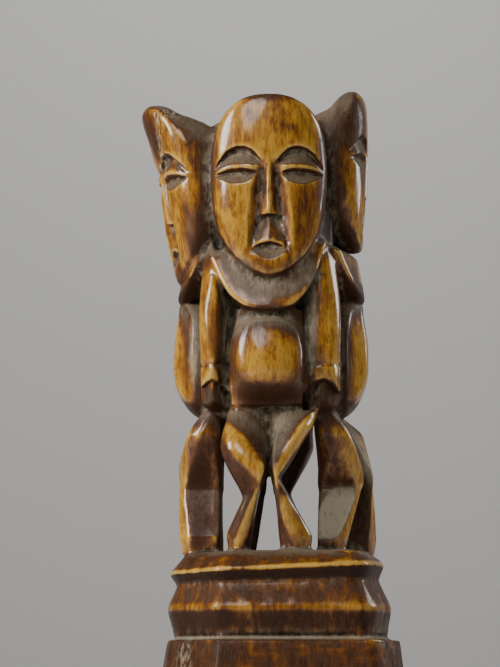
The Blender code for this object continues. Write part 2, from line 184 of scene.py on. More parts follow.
def wavering(field, window, spacing, seed):
    """Smooth random values from -1 to 1, with so many millimetres between them along x, y and z."""
    spots = [axis.ravel() / step for axis, step in zip(field.axes(window), spacing)]
    starts = [int(np.floor(spot[0])) for spot in spots]
    counts = [int(np.ceil(spot[-1])) - start + 2 for spot, start in zip(spots, starts)]
    values = np.random.default_rng(seed).uniform(-1, 1, counts).astype(np.float32)
    for axis, (spot, start) in enumerate(zip(spots, starts)):
        base = np.floor(spot - start).astype(int)
        part = smooth_ramp(spot - start - base, 0, 1).reshape(along(axis)).astype(np.float32)
        values = values.take(base, axis) * (1 - part) + values.take(base + 1, axis) * part
    return values


def ramp(x, low, high):
    """0 below low, 1 above high and straight between them."""
    return np.clip((x - low) / (high - low), 0.0, 1.0)


def smooth_ramp(x, low, high):
    share = ramp(x, low, high)
    return share * share * (3 - 2 * share)


# Figures

FRONT_DEPTH = 4.0
FRONT_RIM = (0.9, 0.98)
ROUND_WINDOW = 1.4
ROUND_RIM = (0.5, 1.1)


class Stand:
    """A figure's own frame: u to the right of someone facing it, v out from the axis, z up."""

    def __init__(self, turn, centre=0.0):
        self.turn = math.radians(turn)
        self.centre = centre

    def point(self, u, v, z):
        """Place of a point of this frame, in the statuette's millimetres."""
        u += self.centre
        x = u * math.cos(self.turn) + v * math.sin(self.turn)
        y = u * math.sin(self.turn) - v * math.cos(self.turn)
        return AXIS_X + x, y, PLINTH_HEIGHT + z

    def across_and_out(self, x, y):
        """u and v of a place of the statuette."""
        x = x - AXIS_X
        u = x * math.cos(self.turn) + y * math.sin(self.turn) - self.centre
        return u, x * math.sin(self.turn) - y * math.cos(self.turn)

    def cells(self, field, low, high):
        """The part of the field between two corners of this frame: its slices, and u, v and z there."""
        spots = np.array([self.point(u, v, low[2]) for u in (low[0], high[0]) for v in (low[1], high[1])])
        bottom, top = spots.min(0), spots.max(0)
        top[2] = PLINTH_HEIGHT + high[2]
        window = field.window(bottom, top)
        x, y, z = field.axes(window)
        return window, *self.across_and_out(x, y), z - PLINTH_HEIGHT


def common(*distances):
    """Distances to what several solids have in common."""
    return functools.reduce(np.maximum, distances)


def cut(field, window, cutter):
    """Takes a solid, given by its distances, out of a part of the field."""
    field.values[window] = np.maximum(field.values[window], -cutter)


def join(field, window, solid, soft):
    """Joins a solid, given by its distances, to a part of the field, with a soft crease between them."""
    part = field.values[window]
    overlap = np.maximum(soft - np.abs(part - solid), 0) / soft
    field.values[window] = np.minimum(part, solid) - overlap ** 2 * soft / 4


def reface(field, window, front, share):
    """Puts a smooth front, given by its distances, in place of the solid's, away from its rim."""
    part = field.values[window]
    blend = (1 - smooth_ramp(share, *FRONT_RIM)) * (front > -FRONT_DEPTH)
    field.values[window] = part + (front - part) * blend.astype(np.float32)


def worn_round(field, stand, middle, reach, radius, grown):
    """Rounds what lies near a point of a figure, and makes it a little fuller."""
    low = tuple(spot - ROUND_WINDOW * size for spot, size in zip(middle, reach))
    high = tuple(spot + ROUND_WINDOW * size for spot, size in zip(middle, reach))
    window, u, v, z = stand.cells(field, low, high)
    part = field.values[window]
    away = np.sqrt(sum(((spread - spot) / size) ** 2 for spread, spot, size in zip((u, v, z), middle, reach)))
    near = 1 - smooth_ramp(away, *ROUND_RIM)
    field.values[window] = part + (blurred(part, radius) - grown - part) * near.astype(np.float32)


# Heads

# The head's dome, and how much of it is left at the crown and at the chin
DOME = 6.3
DOME_POWER = 2.6
CHIN_ROUNDING = 0.8
CROWN_ROUNDING = 2.2
# The egg is widest a share of the way up, and squarer or more pointed above and below that
CHEEKBONES = 0.6
EGG_ABOVE = (2.5, 2.5)
EGG_BELOW = (2.8, 1.5)
EGG_STEPS = 721
HALVINGS = 30
# Where the heads' fronts lie, out from the axis
HEAD_OUT = (11.0, 30.0)


class Mask:
    """Face on the front of a head, carved as a depth below the head's dome.

    Chin and top are heights, and reach is how far out the rim lies. The head leans out by lean for each
    millimetre up, and by crown more at its top.
    """

    def __init__(self, turn, chin, top, half_width, centre, lean, reach, crown, depth):
        self.stand = Stand(turn, centre)
        self.chin = chin
        self.top = top
        self.half_width = half_width
        self.lean = lean
        self.reach = reach
        self.crown = crown
        self.depth = depth
        self.cheeks = chin + CHEEKBONES * (top - chin)
        self.angles = np.linspace(-math.pi, math.pi, EGG_STEPS)
        self.stretches = np.array([self.stretch(math.cos(a), math.sin(a)) for a in self.angles])

    def stretch(self, across, up):
        """How far it is to the egg's outline in a direction, found by halving."""
        power_up, power_across = EGG_ABOVE if up >= 0 else EGG_BELOW
        low, high = 0.0, 2.0
        for _ in range(HALVINGS):
            middle = (low + high) / 2
            if abs(up * middle) ** power_up + abs(across * middle) ** power_across > 1:
                high = middle
            else:
                low = middle
        return low

    def dome(self, u, z):
        """How far the head stands out, and the share of the way from its middle to its rim."""
        rise = z - self.cheeks
        tip = self.lean * rise + self.crown * (np.maximum(0, rise) / (self.top - self.cheeks)) ** 2
        up = rise / np.where(rise >= 0, self.top - self.cheeks, self.cheeks - self.chin)
        across = u / self.half_width
        radius = np.hypot(across, up) + TINY
        share = radius / np.interp(np.arctan2(up, across), self.angles, self.stretches)
        up = up / radius
        rim = self.reach + (DOME - np.where(up > 0, CROWN_ROUNDING, CHIN_ROUNDING)) * up ** 2
        bulge = np.sqrt(1 - np.clip(share, 0, 1) ** DOME_POWER)
        return rim + (self.reach + DOME - rim) * bulge + tip, share

    def carve(self, field):
        """Smooths the dome and cuts the face into it."""
        side = self.half_width + 1
        low = (-side, HEAD_OUT[0], self.chin - 1)
        window, u, v, z = self.stand.cells(field, low, (side, HEAD_OUT[1], self.top + 1))
        dome, share = self.dome(u, z)
        tall = (z - self.chin) / (self.top - self.chin)
        reface(field, window, v - dome + self.depth * face_depth(np.abs(u / self.half_width), tall), share)


# The face's places, as shares of the head's height and of half its width, and its cuts in millimetres
BROW_FOOT, BROW_TOP, BROW_MIDDLE, BROW_HALF_WIDTH, BROW_CUT = 0.572, 0.575, 0.5, 0.44, 1.7
LID, EYE_MIDDLE, EYE_HALF_WIDTH, EYE_CUT = 0.556, 0.54, 0.38, 1.5
NOSE_ROOT, NOSE_TIP, NOSE_CUT = 0.64, 0.335, 1.2
LIP_EDGE, LIP_HALF_WIDTH, LIP_CUT = 0.195, 0.38, 1.5
MOUTH, MOUTH_HALF_WIDTH, MOUTH_CUT = 0.155, 0.31, 1.7
THINNEST_GROOVE = 1e-4


def groove(tall, low, high, crease):
    """A groove's depth, from 0 at its edges to 1 at its crease, a share of the way up."""
    share = (tall - low) / np.maximum(high - low, THINNEST_GROOVE)
    return np.minimum(np.clip(share / crease, 0, 1), np.clip((1 - share) / (1 - crease), 0, 1))


def face_depth(side, tall):
    """How deep the face lies below the dome, in millimetres; side and tall are shares of the head.

    It is a mask's face in thirds: brows at the upper third, the tip of the nose at the lower one, and
    the mouth midway between nose and chin.
    """
    # Eye: a lens under the lid, steep above and sloping out below
    lens = np.clip(1 - (np.abs(side - EYE_MIDDLE) / EYE_HALF_WIDTH) ** 2.2, 0, 1)
    eye = groove(tall, LID - 0.056 * lens, LID + 0.03 * lens, 0.76) * EYE_CUT * np.sqrt(lens)
    # Brow: a scoop, deepest under its arch, that runs out at the lid
    arch = np.clip(1 - (np.abs(side - BROW_MIDDLE) / BROW_HALF_WIDTH) ** 2.4, 0, 1)
    brow = groove(tall, BROW_FOOT + 0.028 * arch, BROW_TOP + 0.125 * arch, 0.86) * BROW_CUT * np.sqrt(arch)
    # Nose: a roof over a furrow, and the cheek's wall beyond it
    down = ramp(-tall, -0.6, -NOSE_TIP)
    foot = 0.09 + 0.11 * down
    cheek = 0.27 + 0.1 * down
    sink = (NOSE_CUT + 0.6 * down) * ramp(-tall, -NOSE_ROOT, -0.57)
    furrow = sink * np.minimum(ramp(side, 0.02, foot), ramp(-side, -cheek, -foot)) * (tall > NOSE_TIP)
    # Lip: two facets under the nose, between the cheeks, that rise to the mouth's edge
    under = ramp(-tall, -NOSE_TIP, -LIP_EDGE)
    edge = 0.18 + 0.1 * under
    lip = LIP_CUT * (1 - under) ** 0.8 + 0.1 + (0.9 - 0.3 * under) * ramp(side, 0.0, edge)
    wall = (1.9 - 0.6 * under) * ramp(-side, -LIP_HALF_WIDTH, -edge)
    lip = np.where(side < edge, lip, wall) * (tall <= NOSE_TIP) * ramp(tall, 0.12, 0.19)
    # Mouth
    bow = np.clip(1 - (side / MOUTH_HALF_WIDTH) ** 2, 0, 1)
    mouth = groove(tall, MOUTH - 0.06 * bow, MOUTH + 0.04 * bow, 0.84) * MOUTH_CUT * np.sqrt(bow)
    return np.maximum.reduce([eye, brow, furrow, lip, mouth])


MASKS = (
    Mask(0, chin=55.1, top=93.5, half_width=12.0, centre=-0.6, lean=0.05, reach=15.2, crown=0.3, depth=1.0),
    Mask(86, chin=62.6, top=97.2, half_width=10.6, centre=0.0, lean=0.03, reach=14.1, crown=0.4, depth=0.7),
    Mask(180, chin=57.0, top=95.0, half_width=11.5, centre=0.0, lean=0.07, reach=15.2, crown=0.4, depth=0.95),
    Mask(282, chin=55.5, top=93.7, half_width=11.4, centre=0.0, lean=0.15, reach=17.5, crown=3.9, depth=0.95),
)


# Trunk

BELLY_FRONT = 20.5
BELLY_RIM = 15.2
BELLY_POWER = 2.9
BELLY_TUCK = 2.2
BELLY_LEDGE = 2.9
# How square and how steep the belly's dome is, and where its front lies, out from the axis
BELLY_DOME = (2.2, 0.45)
BELLY_OUT = (12.0, 24.0)
# The pared facet's place and bend, and the knife's marks across it
PARED_REACH = 23.1
PARED_BEND = 2.6
MARK_DEPTH, MARK_SPACING = 0.02, 0.95


class Belly:
    """Swollen belly with a square ledge on top, drawn in towards the hips, and pared flat on one side."""

    def __init__(self, turn, centre, low, high, half_width, pared=0):
        self.stand = Stand(turn, centre)
        self.pared = pared
        self.middle = (low + high) / 2
        self.half_height = (high - low) / 2
        self.half_width = half_width

    def carve(self, field):
        side, tall = self.half_width, self.half_height
        low = (-side, BELLY_OUT[0], self.middle - tall)
        window, u, v, z = self.stand.cells(field, low, (side, BELLY_OUT[1], self.middle + tall))
        up = (z - self.middle) / tall
        share = (np.abs(u / side) ** BELLY_POWER + np.abs(up) ** BELLY_POWER) ** (1 / BELLY_POWER)
        bulge = (1 - np.clip(share, 0, 1) ** BELLY_DOME[0]) ** BELLY_DOME[1]
        dome = BELLY_RIM + (BELLY_FRONT - BELLY_RIM) * bulge
        dome = dome + BELLY_LEDGE * np.clip(up, 0, 1) ** 6 - BELLY_TUCK * np.clip(-up, 0, 1) ** 2.5
        front = v - dome
        if self.pared:
            facet = (v + self.pared * u - PARED_REACH + PARED_BEND * np.abs(up) ** 3) * math.sqrt(0.5)
            front = np.maximum(front, facet + MARK_DEPTH * np.cos(math.tau * z / MARK_SPACING))
        reface(field, window, front, share)


BELLIES = (
    Belly(0, centre=-0.8, low=29.3, high=47.3, half_width=7.6),
    Belly(84, centre=0.0, low=27.6, high=52.3, half_width=7.4, pared=-1),
    Belly(180, centre=0.3, low=28.4, high=50.2, half_width=7.4),
    Belly(268, centre=0.0, low=27.6, high=52.5, half_width=7.4, pared=1),
)


class Waist:
    """Square trunk that the front belly swells from, wider at the hips, its corners and foot drawn back."""

    centre = -0.5
    top = 49.0
    foot = 29.8
    front = 16.8
    half_width = 8.0
    narrowing = 0.076
    # How far its corners and foot are drawn back, and over what part of it
    corners_back, corners_span = 1.5, (4.0, 8.5)
    foot_back, foot_span = 1.2, 4.0
    soft = 1.8

    def carve(self, field):
        low, high = (-10.0, 7.0, self.foot - 2), (10.0, 18.0, self.top + 2)
        window, u, v, z = Stand(0, self.centre).cells(field, low, high)
        half_width = self.half_width - self.narrowing * (z - self.foot)
        back = self.corners_back * smooth_ramp(np.abs(u), *self.corners_span)
        back = back + self.foot_back * smooth_ramp(-z, -self.foot - self.foot_span, -self.foot)
        solid = common(np.abs(u) - half_width, v - self.front + back, z - self.top, self.foot - z)
        join(field, window, solid, self.soft)


class Forearm:
    """Slanting facet along an arm's inner side, widest at the elbow; side is 1 for the right arm."""

    elbow = 48.0
    front = 15.0
    low, high = 36.8, 56.0
    # How its inner edge bows, how far it slopes back, and the length that makes of the slope
    bow = 0.012
    slope, steepness = 0.8, 1.28
    soft = 0.8

    def __init__(self, side, edge, ridge):
        self.side = side
        self.edge = edge
        self.ridge = ridge

    def carve(self, field):
        near, far = sorted((self.side * (self.edge - 2), self.side * (self.ridge + 1)))
        window, u, v, z = Stand(0).cells(field, (near, 8.0, 35.0), (far, 18.0, 58.0))
        u = self.side * u
        inner = self.edge + self.bow * (z - self.elbow) ** 2 - u
        facet = (v - self.front + self.slope * (self.ridge - u)) / self.steepness
        past = u - self.ridge - 0.5
        solid = common(inner, facet, v - self.front, z - self.high, self.low - z, past)
        join(field, window, solid, self.soft)


TRUNK = (Waist(), Forearm(1, 7.4, 9.8), Forearm(-1, 9.7, 11.8))


# Hands

WRIST_Z = 38.0
WRIST_DEPTH = 0.3
WRIST_HALF_WIDTH = 0.35
HAND_DEPTH = 1.7
HAND_OUT = (10.0, 19.0)
HAND_Z = (28.0, 36.5)
# The recess is a gable in outline, and ridged down its middle
GABLE_TOP = 35.0
GABLE_SLOPE = 0.75
PALM_SLOPE = 0.9
PALM_FOOT = 28.6


class Hand:
    """Recess under an arm's gabled end, with the hand's ridge down its middle."""

    def __init__(self, turn, middle, half_width, front):
        self.stand = Stand(turn, middle)
        self.half_width = half_width
        self.front = front

    def cells(self, field, low, high):
        side = self.half_width
        return self.stand.cells(field, (-side, HAND_OUT[0], low), (side, HAND_OUT[1], high))

    def carve(self, field):
        window, u, v, z = self.cells(field, *HAND_Z)
        gable = GABLE_TOP - GABLE_SLOPE * np.abs(u)
        palm = self.front - HAND_DEPTH - PALM_SLOPE * np.abs(u)
        cut(field, window, common(palm - v, z - gable, PALM_FOOT - z))
        window, u, v, z = self.cells(field, WRIST_Z - 2, WRIST_Z + 2)
        field.values[window] += WRIST_DEPTH * np.exp(-((z - WRIST_Z) / WRIST_HALF_WIDTH) ** 2)
        # Old dirt joins the hand to the thigh under it
        worn_round(field, self.stand, middle=(0.0, 12.5, 28.0), reach=(3.6, 5.0, 2.8), radius=1.0, grown=0.35)


HANDS = (
    Hand(0, middle=10.5, half_width=3.8, front=15.3),
    Hand(0, middle=-12.1, half_width=3.2, front=15.1),
    Hand(180, middle=11.3, half_width=3.2, front=15.1),
    Hand(180, middle=-11.2, half_width=3.2, front=15.1),
)


# Wear that changes the shape

class RoundPlace:
    """Place that is worn rounder than the rest."""

    def __init__(self, turn, middle, reach, radius, grown):
        self.stand = Stand(turn)
        self.middle = middle
        self.reach = reach
        self.radius = radius
        self.grown = grown

    def carve(self, field):
        worn_round(field, self.stand, self.middle, self.reach, self.radius, self.grown)


ROUND_PLACES = (
    # The front figure's left thigh, like a drumstick, its arms, and the crowns of the side heads: each
    # by its turn, middle, reach, radius, and how much fuller it is
    RoundPlace(0, (-6.0, 15.5, 21.5), (7.0, 9.5, 10.0), 1.5, 0.32),
    RoundPlace(0, (-12.6, 15.0, 46.0), (4.0, 4.0, 9.0), 1.0, 0.25),
    RoundPlace(0, (11.2, 15.0, 46.0), (4.2, 4.0, 9.0), 1.0, 0.25),
    RoundPlace(282, (0.0, 26.0, 92.0), (9.0, 6.0, 6.0), 1.3, 0.15),
    RoundPlace(86, (0.0, 18.5, 97.0), (11.0, 7.0, 6.0), 1.5, 0.15),
)


# Heights of the plinth's edges, from the underside up; its upper ridge climbs to the right
BLOCK_TOP = 12.2
LOWER_RIDGE_Z = 18.7
UPPER_RIDGE_Z = 26.7
RIDGE_TILT = 0.043


class PlinthCorners:
    """The plinth's upright corners, rounded by hands."""

    # Lowest and highest point, and radius, of the block's corners and of the mouldings'
    bands = ((-3.0, BLOCK_TOP - 0.7, 0.7), (BLOCK_TOP + 1.4, PLINTH_HEIGHT - 0.6, 1.5))
    grown = 0.05

    def carve(self, field):
        for low, high, radius in self.bands:
            window = field.window((-WIDE, -WIDE, low), (WIDE, WIDE, high))
            field.values[window] = blurred(field.values[window], radius, (0, 1)) - self.grown


class Flutes:
    """Upright tool marks on the wall between the front figure's thighs."""

    low, high = (-3.4, 11.0, 15.0), (3.4, 14.4, 31.0)
    depth = 0.09
    spacing = 0.75

    def carve(self, field):
        window, u, v, z = Stand(0, -0.8).cells(field, self.low, self.high)
        on_wall = (v < self.high[1]) * (z < self.high[2])
        field.values[window] += self.depth * np.cos(math.tau * u / self.spacing) * on_wall


class RoughCorner:
    """Corner of the block that was split and not cut clean."""

    depth = 0.8
    # Spacing of its large and its small pits, and how far it takes to fade out towards its high side
    large_pits, small_pits = (1.0, 1.0, 2.2), (0.5, 0.5, 0.7)
    fades = (4.0, 4.0, 1.0)

    def __init__(self, low, high, seed, amount=1.0):
        self.low = low
        self.high = high
        self.seed = seed
        self.amount = amount

    def near(self, x, y, z):
        share = self.amount
        for spread, low, high, fade in zip((x, y, z), self.low, self.high, self.fades):
            share = share * smooth_ramp(spread, low, low + 1) * smooth_ramp(-spread, -high, fade - high)
        return share

    def carve(self, field):
        window = field.window(self.low, self.high)
        pits = np.maximum(0, wavering(field, window, self.large_pits, self.seed))
        pits = pits + 0.5 * np.maximum(0, wavering(field, window, self.small_pits, self.seed + 1))
        field.values[window] += self.depth * pits * self.near(*field.axes(window))


class PittedSeam(RoughCorner):
    """Seam of pits down a head's forehead, between two points of its face, given by u and z."""

    depth = 0.5

    def __init__(self, turn, top, foot, half_width, seed):
        low = (-WIDE, -WIDE, PLINTH_HEIGHT + foot[1] - 2)
        super().__init__(low, (WIDE, WIDE, PLINTH_HEIGHT + top[1] + 3), seed)
        self.stand = Stand(turn, foot[0])
        self.foot_z = foot[1]
        self.slope = (top[0] - foot[0]) / (top[1] - foot[1])
        self.half_width = half_width

    def near(self, x, y, z):
        u, v = self.stand.across_and_out(x, y)
        aside = np.abs(u - self.slope * (z - PLINTH_HEIGHT - self.foot_z))
        seam = 1 - smooth_ramp(aside, 0.6 * self.half_width, 1.3 * self.half_width)
        low, high = self.low[2], self.high[2]
        ends = smooth_ramp(z, low, low + 3) * smooth_ramp(-z, -high, -high + 1)
        return seam * smooth_ramp(v, 12, 14) * ends


ROUGH_PLACES = (
    RoughCorner((-33.0, -28.0, -3.0), (-16.5, -11.0, 13.6), seed=21),
    RoughCorner((19.0, -28.0, -3.0), (29.0, -12.0, 13.6), seed=33, amount=0.5),
    PittedSeam(282, top=(8.0, 92.0), foot=(2.6, 79.6), half_width=1.7, seed=45),
)


# Carving

EDGE_SOFTNESS = 0.45
EDGE_CRISPNESS = 0.2
CRISP_BELOW = (BLOCK_TOP + 1.0, BLOCK_TOP + 3.0)
LAST_SOFTNESS = 0.15
FEATURES = (*MASKS, *BELLIES, *TRUNK, *HANDS, *ROUND_PLACES, Flutes(), PlinthCorners(), *ROUGH_PLACES)
# Spacing, height and seed of the ripples that keep the facets from being machine flat
RIPPLES = (((6.0, 6.0, 8.0), 0.16, 4), ((2.4, 2.4, 5.0), 0.08, 5), ((0.9, 0.9, 2.6), 0.035, 6))
MOST_TRIANGLES = 190000


def carve():
    """The solid with its edges worn, its creases filled with old dirt, and its faces cut."""
    field = Field.of_mesh(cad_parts[STATUETTE].data)
    soft = blurred(field.values, EDGE_SOFTNESS)
    x, y, z = field.axes()
    crisp = 1 - smooth_ramp(z, *CRISP_BELOW)
    field.values = soft + (blurred(field.values, EDGE_CRISPNESS) - soft) * crisp
    for feature in FEATURES:
        feature.carve(field)
    for spacing, height, seed in RIPPLES:
        field.values += height * wavering(field, None, spacing, seed)
    # The underside stays flat
    field.values = np.maximum(blurred(field.values, LAST_SOFTNESS), -z)
    return field


def mesh_from(points, corners):
    mesh = bpy.data.meshes.new(STATUETTE + "_carving")
    mesh.vertices.add(len(points))
    mesh.vertices.foreach_set("co", (points * MM).astype(np.float32).ravel())
    mesh.loops.add(corners.size)
    mesh.loops.foreach_set("vertex_index", corners.astype(np.int32).ravel())
    mesh.polygons.add(len(corners))
    mesh.polygons.foreach_set("loop_start", np.arange(0, corners.size, corners.shape[1], dtype=np.int32))
    mesh.update(calc_edges=True)
    mesh.validate()
    return mesh


def thin(piece):
    """Leaves the piece's flat places in fewer triangles."""
    triangles = 2 * len(piece.data.polygons)
    modifier = piece.modifiers.new("thin", "DECIMATE")
    modifier.ratio = min(1.0, MOST_TRIANGLES / triangles)
    modifier.use_collapse_triangulate = True
    mesh = bpy.data.meshes.new_from_object(piece.evaluated_get(bpy.context.evaluated_depsgraph_get()))
    piece.modifiers.clear()
    piece.data = mesh


# What the material reads: the share of solid close by, further off and far off, how squarely the surface
# faces outwards and upwards, and where it is worn, where dust and in places a painted sheen grey it,
# and where it is split
ATTRIBUTES = ("edge", "rise", "depth", "facing", "tilt", "worn", "dusty", "split")
# Radius of each share of solid, and how coarse a grid will do for it
SHARES = (("edge", 0.55, 1), ("rise", 1.8, 2), ("depth", 5.0, 4))


def add_attribute(mesh, name, values):
    attribute = mesh.attributes.new(name, "FLOAT", "POINT")
    attribute.data.foreach_set("value", values.astype(np.float32))


def vectors_of(collection, name):
    values = np.zeros(len(collection) * 3, np.float32)
    collection.foreach_get(name, values)
    return values.reshape(-1, 3)


def add_attributes(mesh, field):
    points = vectors_of(mesh.vertices, "co") / MM
    for name, radius, coarse in SHARES:
        add_attribute(mesh, name, field.sample(crowding(field.values, radius, coarse), points, coarse))
    normals = vectors_of(mesh.vertex_normals, "vector")
    away = points[:, :2] - (AXIS_X, 0.0)
    away /= np.linalg.norm(away, axis=1, keepdims=True) + TINY
    add_attribute(mesh, "facing", (normals[:, :2] * away).sum(1))
    add_attribute(mesh, "tilt", normals[:, 2])
    add_attribute(mesh, "worn", np.clip(sum(patch.share(points) for patch in PATCHES), -1, 1))
    add_attribute(mesh, "dusty", sum(patch.share(points) for patch in DUST_AND_SHEEN_PATCHES))
    add_attribute(mesh, "split", sum(place.near(*points.T) for place in ROUGH_PLACES))


def statuette():
    """The carved piece, thinned, with its attributes and its material."""
    field = carve()
    piece = bpy.data.objects.new("carved_statuette", mesh_from(*field.skin()))
    bpy.context.scene.collection.objects.link(piece)
    thin(piece)
    add_attributes(piece.data, field)
    piece.data.shade_smooth()
    piece.data.materials.clear()
    piece.data.materials.append(ivory())
    return piece


# Wear

class Patch:
    """Soft oval on a figure's front that is rubbed bare, or with a negative amount kept dark.

    It leans by its slant, in degrees, and begins so far out from the figures' axis.
    """

    power = 2
    rim = (0.5, 1.3)
    fade = 2.0

    def __init__(self, turn, u, z, half_width, half_height, amount, slant=0.0, out=8.0):
        self.stand = Stand(turn, u)
        self.z = z
        self.sizes = (half_width, half_height)
        self.amount = amount
        self.slant = math.radians(slant)
        self.out = out

    def share(self, points):
        x, y, z = points.T
        across, out = self.stand.across_and_out(x, y)
        places = self.turned(across, z - PLINTH_HEIGHT - self.z)
        reach = sum(np.abs(place / size) ** self.power for place, size in zip(places, self.sizes))
        near = 1 - smooth_ramp(reach ** (1 / self.power), *self.rim)
        return self.amount * near * smooth_ramp(out, self.out, self.out + self.fade)

    def turned(self, across, up):
        return (across * math.cos(self.slant) - up * math.sin(self.slant),
                across * math.sin(self.slant) + up * math.cos(self.slant))


class FacetPatch(Patch):
    """Patch that fills a flat facet: a leaning block with a crisp rim and a level top."""

    power = 6
    rim = (0.9, 1.05)

    def turned(self, across, up):
        return across - up * math.tan(self.slant), up


def worn_front(turn, belly_z, belly_width, belly_height, side=1):
    """Patches of one figure: bare on the belly, dark round it, on the collar and in the groin."""
    u = -0.8 * side
    top = belly_z + belly_height
    return [
        Patch(turn, u, top + 1.4, 9.0, 3.4, -0.7),
        Patch(turn, u, belly_z - 0.6, belly_width + 3.0, belly_height + 4.0, -0.9),
        Patch(turn, u, belly_z + 0.3, belly_width, belly_height, 1.9),
        Patch(turn, 0.4, 53.6, 6.5, 2.4, -1.0),
        Patch(turn, -6.4, 56.4, 2.4, 3.2, -0.7),
        Patch(turn, 7.4, 56.8, 2.6, 3.2, -0.7),
        Patch(turn, u, 26.0, 3.0, 6.0, -0.8),
    ]


def worn_legs(turn):
    """Patches of a plainer figure's legs: dark at the hips and along the inner shins."""
    return [
        Patch(turn, 0.0, 20.0, 2.6, 9.0, -0.8),
        Patch(turn, 0.0, 5.0, 2.6, 7.0, -0.7),
        Patch(turn, -7.0, 27.5, 4.0, 2.6, -0.7),
        Patch(turn, 7.0, 27.5, 4.0, 2.6, -0.7),
        Patch(turn, -8.6, 14.0, 1.6, 5.0, -0.6),
        Patch(turn, 8.6, 14.0, 1.6, 5.0, -0.6),
    ]


# Turn, u, z, half width, half height and amount, and for some the slant and how far out it begins
PATCHES = worn_front(0, 39.2, 6.2, 6.2) + worn_front(180, 39.5, 6.4, 7.6, -1)
PATCHES += worn_front(84, 40.0, 6.9, 10.6, 0) + worn_front(268, 40.0, 7.1, 10.6, 0)
PATCHES += worn_legs(84) + worn_legs(180) + worn_legs(268) + [
    # Front head: dark crown, right rim and right cheek, bare left cheek
    Patch(0, -1.0, 94.0, 10.5, 3.0, -0.8),
    Patch(0, 11.4, 80.0, 2.2, 14.0, -0.8),
    Patch(0, -12.8, 80.0, 1.8, 12.0, -0.6),
    Patch(0, 6.8, 69.0, 4.6, 7.5, -0.3),
    Patch(0, -7.4, 71.0, 3.6, 7.0, 0.35),
    Patch(0, 0.5, 57.5, 5.0, 2.6, -0.3),
    # Left head: dark towards its crown and its neck; right head: dark crown
    Patch(282, 1.5, 88.0, 4.4, 7.5, -0.75),
    Patch(282, 10.0, 64.0, 3.4, 8.0, -0.6),
    Patch(86, -8.8, 90.0, 4.4, 8.0, -0.85),
    Patch(86, -5.6, 80.0, 3.4, 6.0, -0.5),
    # The front figure's left leg: dark, with a bare slanting ridge on the thigh and on the shin
    Patch(0, -5.8, 21.0, 6.4, 9.4, -0.85),
    Patch(0, -5.9, 20.0, 2.0, 6.8, 1.7, -36.0),
    Patch(0, -6.0, 6.5, 4.0, 7.6, -0.8),
    Patch(0, -4.7, 6.2, 1.15, 7.4, 1.6, 23.0),
    # Its right leg: dark on the inner facets, bare along the ridges and the bevel at the hip
    Patch(0, 3.6, 22.4, 5.4, 8.4, -1.0),
    Patch(0, 4.6, 21.6, 1.4, 6.8, 1.7, 30.0),
    Patch(0, 8.8, 27.5, 1.1, 2.0, 1.2),
    Patch(0, 2.6, 7.2, 4.2, 7.4, -0.8),
    Patch(0, 4.0, 5.6, 1.5, 5.4, 1.6, -20.0),
    # Side legs
    FacetPatch(0, 12.7, 8.0, 3.4, 5.7, -1.0, 23.0, 5.0),
    Patch(0, 13.6, 17.6, 3.0, 3.6, 0.4, 0.0, 5.0),
    Patch(0, -18.4, 7.0, 1.6, 8.4, 0.7, 0.0, 2.0),
    Patch(0, -15.0, 8.4, 2.6, 9.4, -0.7, 0.0, 2.0),
    Patch(0, -15.4, 18.6, 2.8, 6.0, -0.5, 0.0, 2.0),
    # Side bellies: duller where they are pared
    Patch(0, -18.8, 41.6, 2.0, 9.0, -0.95, 0.0, 2.0),
    Patch(0, 15.2, 41.0, 1.1, 9.0, -1.1, 0.0, 2.0),
    # Hands: bare knuckles over dark palms
    Patch(0, -12.3, 35.6, 2.0, 1.8, 0.7),
    Patch(0, 10.2, 36.4, 2.2, 1.5, 0.7),
    Patch(0, -12.3, 30.6, 3.8, 3.8, -1.0),
    Patch(0, 10.4, 30.8, 4.6, 4.0, -1.0),
    # Arms: dark along the inside of the right one and down the left one
    Patch(0, 7.6, 45.0, 1.3, 9.0, -0.8),
    Patch(0, -11.2, 43.0, 2.4, 6.5, -0.5),
]

DUST_AND_SHEEN_PATCHES = [
    # Dust on the collar and its sides, the ledge over the belly, the groin and the left arm's inner side;
    # dust with a painted sheen on the right figure's shin, the right arm's inner side and the right figure's
    # hip, and a painted highlight on the left figure's belly
    Patch(0, 0.4, 53.4, 6.5, 2.2, 0.4),
    Patch(0, -6.4, 56.4, 2.4, 3.0, 0.3),
    Patch(0, 7.4, 56.8, 2.6, 3.0, 0.35),
    Patch(0, -0.8, 46.6, 5.5, 1.6, 0.25),
    FacetPatch(0, 12.7, 8.0, 3.3, 5.5, 2.0, 23.0, 5.0),
    Patch(0, 2.0, 24.6, 2.2, 5.4, 0.3, 14.0),
    Patch(0, 8.0, 46.5, 1.3, 9.5, 0.9),
    Patch(0, -9.4, 44.0, 0.8, 7.0, 0.3),
    Patch(0, 18.8, 22.0, 1.8, 8.0, 0.9, -17.0, -4.0),
    Patch(0, -16.2, 41.5, 1.0, 7.0, 0.8, 0.0, 2.0),
    # The left figure's shin has less
    Patch(0, -15.4, 7.0, 3.6, 9.0, -0.55, 0.0, 2.0),
]


# Materials

